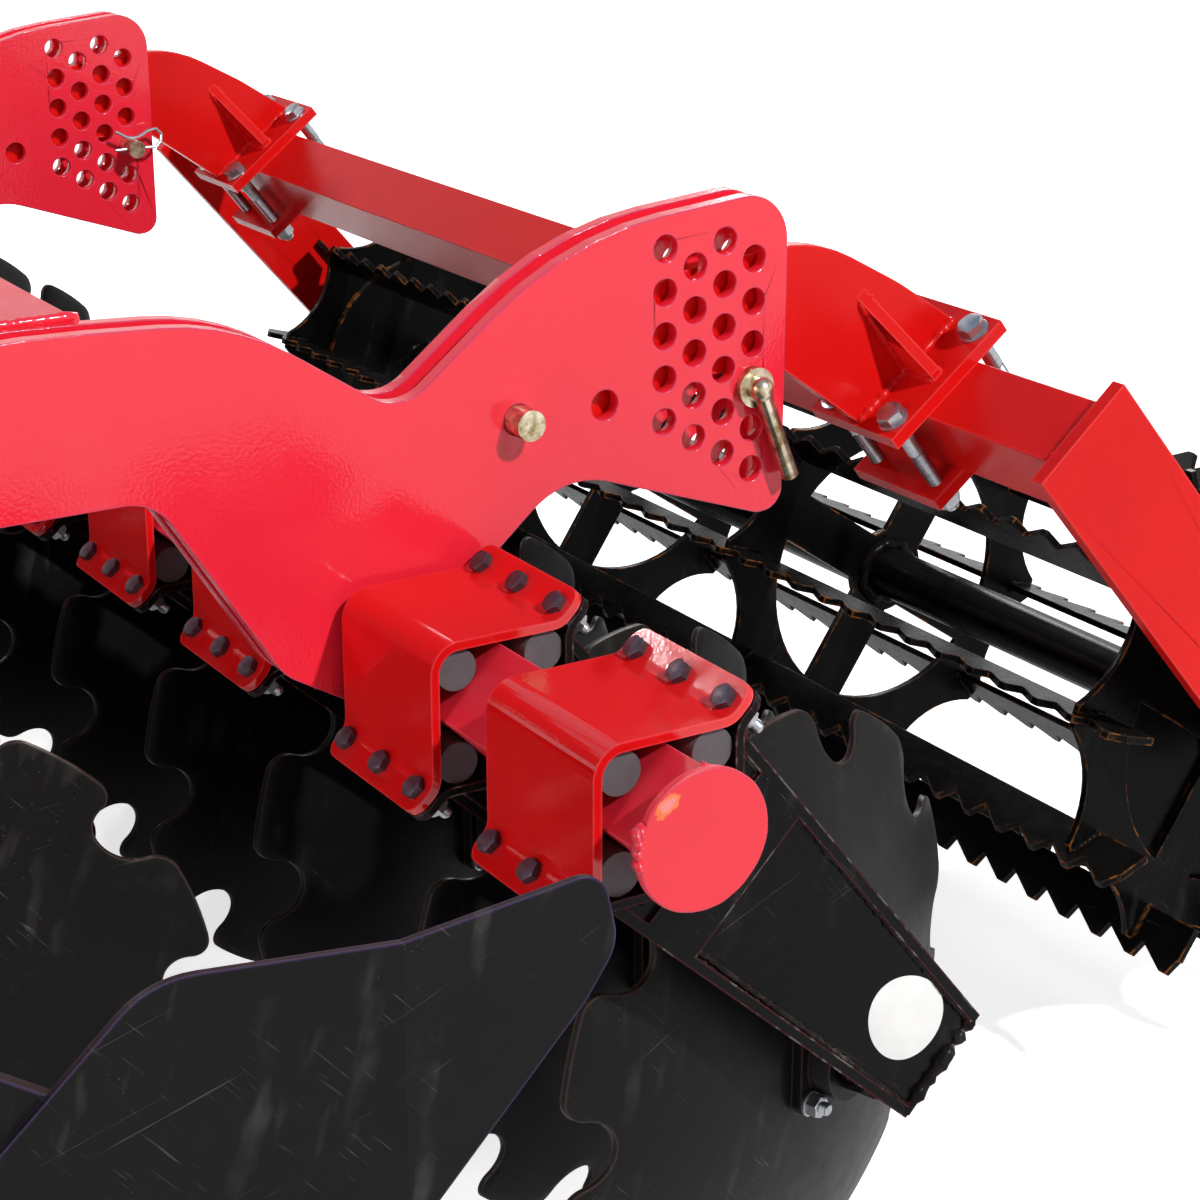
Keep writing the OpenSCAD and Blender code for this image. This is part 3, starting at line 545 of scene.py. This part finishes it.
# Rubber cords: cut lengths of solid round natural rubber, squeezed into the four corners of
# each clamp. Mid grey, matt, with saw marks and bloom on the cut ends.
cord_rubber, tree, shader = new_material("grey_rubber_cord")
here = put(tree, "ShaderNodeTexCoord").outputs["Object"]
bloom = put(tree, "ShaderNodeTexNoise", {"Scale": 1 / 0.02, "Detail": 6.0, "Roughness": 0.65}, Vector=here)
tone = put(tree, "ShaderNodeMix", {"data_type": "RGBA", 6: srgb("#48474B"), 7: srgb("#6A686A")},
           i0=bloom.outputs["Fac"])
tree.links.new(tone.outputs[2], shader.inputs["Base Color"])
saw = put(tree, "ShaderNodeTexWave", {"Scale": 1 / 0.0035, "Distortion": 3.0, "Detail": 2.0,
                                      "bands_direction": "Z"}, Vector=here)
cut_face = put(tree, "ShaderNodeBump", {"Strength": 0.12, "Distance": 0.0005}, Height=saw.outputs["Fac"])
tree.links.new(cut_face.outputs["Normal"], shader.inputs["Normal"])
shader.inputs["Roughness"].default_value = 0.7
dress(cord_rubber, 1.5, "rubber_cords_rear", "rubber_cords_front")

# Disc arms: welded box arms of 10 mm plate with the lower clamp half on top and the stub axle
# through the end, sprayed gloss black over rough fillets.
ARM_OUT = 0.073
ARM_WIDE = 0.045
ARM_LIP = 0.004
black_enamel = coat("gloss_black_enamel_on_arms", "#080707", "#0E0C0B", "#5C2428", 0.26, dusty=0.02,
                    scuff=0.4, fleck=0.35, chip="#8E8880", shine=0.09)
dress(black_enamel, 1.2, "disc_arms_rear", "disc_arms_front")
for row, beam, hand in (("rear", rear_beam, 1), ("front", front_beam, -1)):
    bm = bmesh.new()
    for x in unit_places(row):
        base = Vector((x, beam.y, beam.z))
        for out in (ARM_OUT - ARM_LIP, ARM_OUT - ARM_WIDE + ARM_LIP):
            for edge in (-1, 1):
                root = base + FLANGE_WAY * edge * 0.067 - CLAMP_UP * 0.104
                tip = base + FLANGE_WAY * (edge * 0.0446 - 0.014) - CLAMP_UP * 0.411
                shift = Vector((hand * out, 0, 0))
                lay(bm, [root + shift, tip + shift], 0.0032, 0.55, sides=6, step=0.005)
            lay(bm, [base + FLANGE_WAY * u - CLAMP_UP * v + Vector((hand * out, 0, 0))
                     for u, v in ((-0.074, 0.022), (-0.058, 0.040), (0, 0.100), (0.058, 0.040),
                                  (0.074, 0.022))],
                0.0045, 0.45, sides=6, step=0.005)
            lay(bm, [base + FLANGE_WAY * (u - 0.014) - CLAMP_UP * 0.4165 + Vector((hand * out, 0, 0))
                     for u in (-0.050, -0.020, 0.015, 0.050)], 0.0055, 0.8, sides=6, step=0.005)
        axle = Vector(hinges[row + "_disc_1"]["axis"])
        axle = Vector((abs(axle.x) * hand, abs(axle.y), 0))
        hub = Vector((x - hand * DISC_TO_CLAMP, beam.y + 0.207, beam.z - 0.314))
        ring_at = along(hub + axle * 0.1445, axle)
        lay(bm, [ring_at @ Vector((0.0205 * math.cos(t), 0.0205 * math.sin(t), 0))
                 for t in turns(20)], 0.0035, 0.5, closed=True)
    piece_of("arm_welds_" + row, bm, black_enamel, "frame", 60)

# Oval label on the last arm: plain white vinyl, die cut and pressed on between the arm's lips.
# Half a millimetre thick, smooth and slightly greyed in patches.
LABEL_LONG, LABEL_WIDE = 0.043, 0.0365
label_vinyl, tree, shader = new_material("white_vinyl_label")
here = put(tree, "ShaderNodeTexCoord").outputs["Object"]
age = put(tree, "ShaderNodeTexNoise", {"Scale": 1 / 0.03, "Detail": 5.0}, Vector=here)
tone = put(tree, "ShaderNodeMix", {"data_type": "RGBA", 6: srgb("#F4F3F1"), 7: srgb("#E2E0DC")},
           i0=age.outputs["Fac"])
tree.links.new(tone.outputs[2], shader.inputs["Base Color"])
shader.inputs["Roughness"].default_value = 0.35
bm = bmesh.new()
label_mid = (Vector((max(unit_places("rear")) + ARM_OUT - ARM_LIP, rear_beam.y, rear_beam.z))
             - FLANGE_WAY * 0.0018 - CLAMP_UP * 0.3486)
rim = []
for grow, up in ((1.0, 0.0), (1.0, 0.0003), (0.985, 0.0005)):
    rim.append([])
    for t in turns(64):
        a = LABEL_LONG * grow * math.cos(t)
        b = LABEL_WIDE * grow * math.sin(t) * (1 + 0.08 * math.cos(t))
        rim[-1].append(bm.verts.new(label_mid + Vector((up, 0, 0)) + FLANGE_WAY * b - CLAMP_UP * a))
skin(bm, rim)
piece_of("blank_oval_label", bm, label_vinyl, "frame")

# Discs: 6 mm boron steel, hot pressed to a dish with ten round bays, painted satin black; the
# handling has scratched them and the cut edges show bronze where the paint is thin.
disc_black = coat("satin_black_on_boron_steel", "#0F0E0E", "#171412", "#54443A", 0.38, peel=0.06, dusty=0.03,
                  scuff=0.55, fleck=0.35, shine=0.12)
HUB_BOLT_R = 0.0509
HUB_BOLT_TURNS = (45, 135, 225, 315)
disc_nodes = sorted(n for n in nodes if n.startswith(("disc_rear_", "disc_front_")))
dress(disc_black, 0.8, *disc_nodes)
for name in disc_nodes:
    row, number = name.split("_")[1:]
    body = row + "_disc_" + number
    axle = Vector(hinges[body]["axis"])
    if (row == "rear") != (axle.x > 0):
        axle = -axle
    hub = Vector(hinges[body]["pos_m"])
    down = Vector((0, 0, -1))
    across = axle.cross(down)
    bm = bmesh.new()
    for turn_deg in HUB_BOLT_TURNS:
        a = math.radians(turn_deg)
        spot = hub + (across * math.cos(a) + down * math.sin(a)) * HUB_BOLT_R
        back = along(spot + axle * 0.078, axle, 0.4)
        hexagon(bm, washer(bm, back, *M12_WASHER), M12_FLATS, 0.0105, True)
        stud(bm, back, M12_R, 0.010, 0.0205)
        face = along(spot + axle * 0.0622, -axle)
        turned(bm, face, [(0.0125, -0.001), (0.0125, 0.001), (0.0112, 0.0035), (0.008, 0.0052),
                          (0.003, 0.006)], 20)
    piece_of("hub_bolts_" + row + "_" + number, bm, bright_zinc, body)

# Side deflector: one bent 6 mm sheet that keeps soil inside the last disc, on a flat carrier
# bar. Rolled black and scuffed all over; the violet line along the laser-cut edge is a painted highlight.
# The edge colour #4E3E66 is a painted highlight along the sheet's cut edges.
sheet_black = coat("scuffed_black_sheet", "#100F0F", "#181615", "#4E3E66", 0.44, peel=0.05, dusty=0.04,
                   scuff=1.0, fleck=0.3, shine=0.12)
dress(sheet_black, 0.8, "side_deflector", "deflector_carrier")

# Roller frame: square tube with end plates, carried by two swing arms on flange plates that are
# bolted through to counter-plates under the tube. Gloss red over visible fillets.
SLOPE = math.radians(38)
UP_SLOPE = Vector((0, math.cos(SLOPE), math.sin(SLOPE)))
OFF_SLOPE = Vector((0, -math.sin(SLOPE), math.cos(SLOPE)))
frame_red = coat("gloss_red_enamel_on_roller_frame", "#DA1412", "#CA0E10", "#F05050", 0.20, peel=0.14,
                 dusty=0.02, shine=0.14)
dress(frame_red, 1.2, "roller_rail", "swing_arms", "counter_plates", "roller_end_plates")
rail = middle("roller_rail")
rail_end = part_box("roller_rail")[1][0]
SWING_X = 0.749
RAIL_HALF = 0.038
M16_FLATS = 0.024
M16_THREAD_R = 0.0078
M16_PITCH = 0.0022
M16_WASHER = (0.0155, 0.0148, 0.0022, 24)
bolts, welds = bmesh.new(), bmesh.new()
for side in (-1, 1):
    foot = Vector((side * SWING_X, rail.y, rail.z))
    for a in (-0.046, 0.046):
        for b in (-0.060, 0.060):
            spot = foot + Vector((a, 0, 0)) + UP_SLOPE * b
            top = along(spot + OFF_SLOPE * 0.052, OFF_SLOPE, rng.uniform(0, 6))
            hexagon(bolts, washer(bolts, top, *M16_WASHER), M16_FLATS, 0.0105)
            shank = along(spot + OFF_SLOPE * 0.040, -OFF_SLOPE)
            turned(bolts, shank, [(0.008, 0.0), (0.008, 0.034), (0.0076, 0.035)], 20)
            stud(bolts, shank, M16_THREAD_R, 0.035, 0.080, M16_PITCH)
            low = along(spot - OFF_SLOPE * 0.052, -OFF_SLOPE, rng.uniform(0, 6))
            hexagon(bolts, washer(bolts, low, *M16_WASHER), M16_FLATS, 0.013, True)
            stud(bolts, low, M16_THREAD_R, 0.012, 0.024, M16_PITCH)
    for face in (-0.0085, 0.0085):
        for b0, b1 in ((-0.074, -0.009), (0.009, 0.064)):
            lay(welds, [foot + Vector((face, 0, 0)) + UP_SLOPE * b + OFF_SLOPE * 0.0525 for b in (b0, b1)],
                0.0048, 0.5)
        out = math.copysign(1, face)
        for b in (-0.0065, 0.0065):
            lay(welds, [foot + Vector((out * 0.009, 0, 0)) + UP_SLOPE * b + OFF_SLOPE * h
                        for h in (0.054, 0.145)], 0.004, 0.5)
            lay(welds, [foot + Vector((out * w, 0, 0)) + UP_SLOPE * b + OFF_SLOPE * 0.0525
                        for w in (0.010, 0.048)], 0.004, 0.5)
    rail_face = Vector((side * (rail_end - 0.0005), rail.y, rail.z))
    lay(welds, [rail_face + UP_SLOPE * a * RAIL_HALF + OFF_SLOPE * b * RAIL_HALF
                for a, b in ((-1, -1), (1, -1), (1, 1), (-1, 1))], 0.0042, 0.45, closed=True)
piece_of("roller_frame_bolts", bolts, bright_zinc, "roller_frame")
piece_of("roller_frame_welds", welds, frame_red, "roller_frame", 60)

# Pins: turned steel in yellow passivated zinc. The bent lock pins set the working depth in the
# grid and are kept in by spring clips on the inner ends.
yellow_zinc, tree, shader = new_material("yellow_passivated_zinc")
here = put(tree, "ShaderNodeTexCoord").outputs["Object"]
tarnish = put(tree, "ShaderNodeTexNoise", {"Scale": 1 / 0.012, "Detail": 5.0, "Roughness": 0.6}, Vector=here)
tone = put(tree, "ShaderNodeValToRGB", Fac=tarnish.outputs["Fac"])
tone.color_ramp.elements[0].color = srgb("#8F7648")
tone.color_ramp.elements[0].position = 0.35
tone.color_ramp.elements[1].color = srgb("#E6DCC4")
tone.color_ramp.elements[1].position = 0.62
tree.links.new(tone.outputs["Color"], shader.inputs["Base Color"])
shader.inputs["Metallic"].default_value = 0.95
shader.inputs["Roughness"].default_value = 0.28
dress(yellow_zinc, 1.2, "pivot_pins", "lock_pins")
lock_axis = Vector((0, rear_beam.y + 0.3672, rear_beam.z + 0.185))
bm = bmesh.new()
for side in (-1, 1):
    hole = lock_axis + Vector((side * 0.700, 0, 0))
    lay(bm, [hole + Vector((side * dx, dy, dz)) for dx, dy, dz in (
        (0, -0.028, 0), (0, 0.030, 0), (0.002, 0.040, 0.006), (0.004, 0.042, 0.016), (0.004, 0.034, 0.024),
        (0.004, 0.022, 0.022), (0.004, 0.008, 0.015), (0.004, 0, 0.014), (0.004, -0.010, 0.016),
        (0.004, -0.024, 0.024))], 0.0021, sides=8, step=0.002)
piece_of("lock_pin_clips", bm, bright_zinc, "frame")

# Cage roller: toothed flat bars welded into star-shaped discs on a tube, in flange bearings on
# the end plates. Gloss black; the saw-cut teeth have lost paint to rusty brown.
roller_black = coat("gloss_black_enamel_on_roller", "#070708", "#0D0C0C", "#382C24", 0.24, dusty=0.02,
                    scuff=0.25, fleck=0.4, chip="#B26A28", shine=0.05)
dress(roller_black, 0.8, "roller_core", "roller_bars", "roller_bearings")
ROLLER_DISCS = (-0.900, -0.290, 0.290, 0.900)
ROLLER_BARS = 10
axis = Vector(hinges["roller"]["pos_m"])
bm = bmesh.new()
for x in ROLLER_DISCS:
    for face in (-0.0045, 0.0045):
        ring_at = Vector((x + face, axis.y, axis.z))
        lay(bm, [ring_at + Vector((0, 0.034 * math.cos(t), 0.034 * math.sin(t)))
                 for t in turns(28)], 0.008, 0.6, closed=True, step=0.005)
        for k in range(ROLLER_BARS):
            t = math.radians(20 + 360 / ROLLER_BARS * k)
            out = Vector((0, math.cos(t), math.sin(t)))
            wide = Vector((0, -math.sin(t), math.cos(t)))
            for edge in (-0.0045, 0.0045):
                lay(bm, [ring_at + wide * edge + out * r for r in (0.210, 0.242)], 0.0038, 0.6,
                    sides=6, step=0.004)
piece_of("roller_welds", bm, roller_black, "roller", 60)

# End discs of the roller: closed by a round 6 mm plate on the inner face, with a hole for the
# tube, welded all round its edge and painted with the cage.
END_PLATE_R = 0.172
TUBE_HOLE_R = 0.029
bm = bmesh.new()
for side in (-1, 1):
    plate_at = along(Vector((side * 0.896, axis.y, axis.z)), (-side, 0, 0))
    turned(bm, plate_at, [(TUBE_HOLE_R, 0.0), (END_PLATE_R, 0.0), (END_PLATE_R, 0.005),
                          (END_PLATE_R - 0.001, 0.006), (TUBE_HOLE_R, 0.006)], 72)
    lay(bm, [plate_at @ Vector((END_PLATE_R * math.cos(t), END_PLATE_R * math.sin(t), 0.001))
             for t in turns(96)], 0.004, 0.5, closed=True, sides=6, step=0.006)
piece_of("roller_end_disc_plates", bm, roller_black, "roller")

# Bearing bolts: four M10 hexagon bolts with washers, bright zinc, that hold each flange bearing
# to its end plate.
BEARING_BOLT_R = 0.033
M10_FLATS = 0.0165
M10_WASHER = (0.0105, 0.0099, 0.002)
bm = bmesh.new()
bearing_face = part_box("roller_bearings")[1][0]
for side in (-1, 1):
    for k in range(4):
        t = math.radians(45 + 90 * k)
        spot = Vector((side * bearing_face, axis.y + BEARING_BOLT_R * math.cos(t),
                       axis.z + BEARING_BOLT_R * math.sin(t)))
        seat = along(spot, (side, 0, 0), 0.3 * k)
        hexagon(bm, washer(bm, seat, *M10_WASHER), M10_FLATS, 0.0066)
piece_of("bearing_bolts", bm, bright_zinc, "roller_frame")
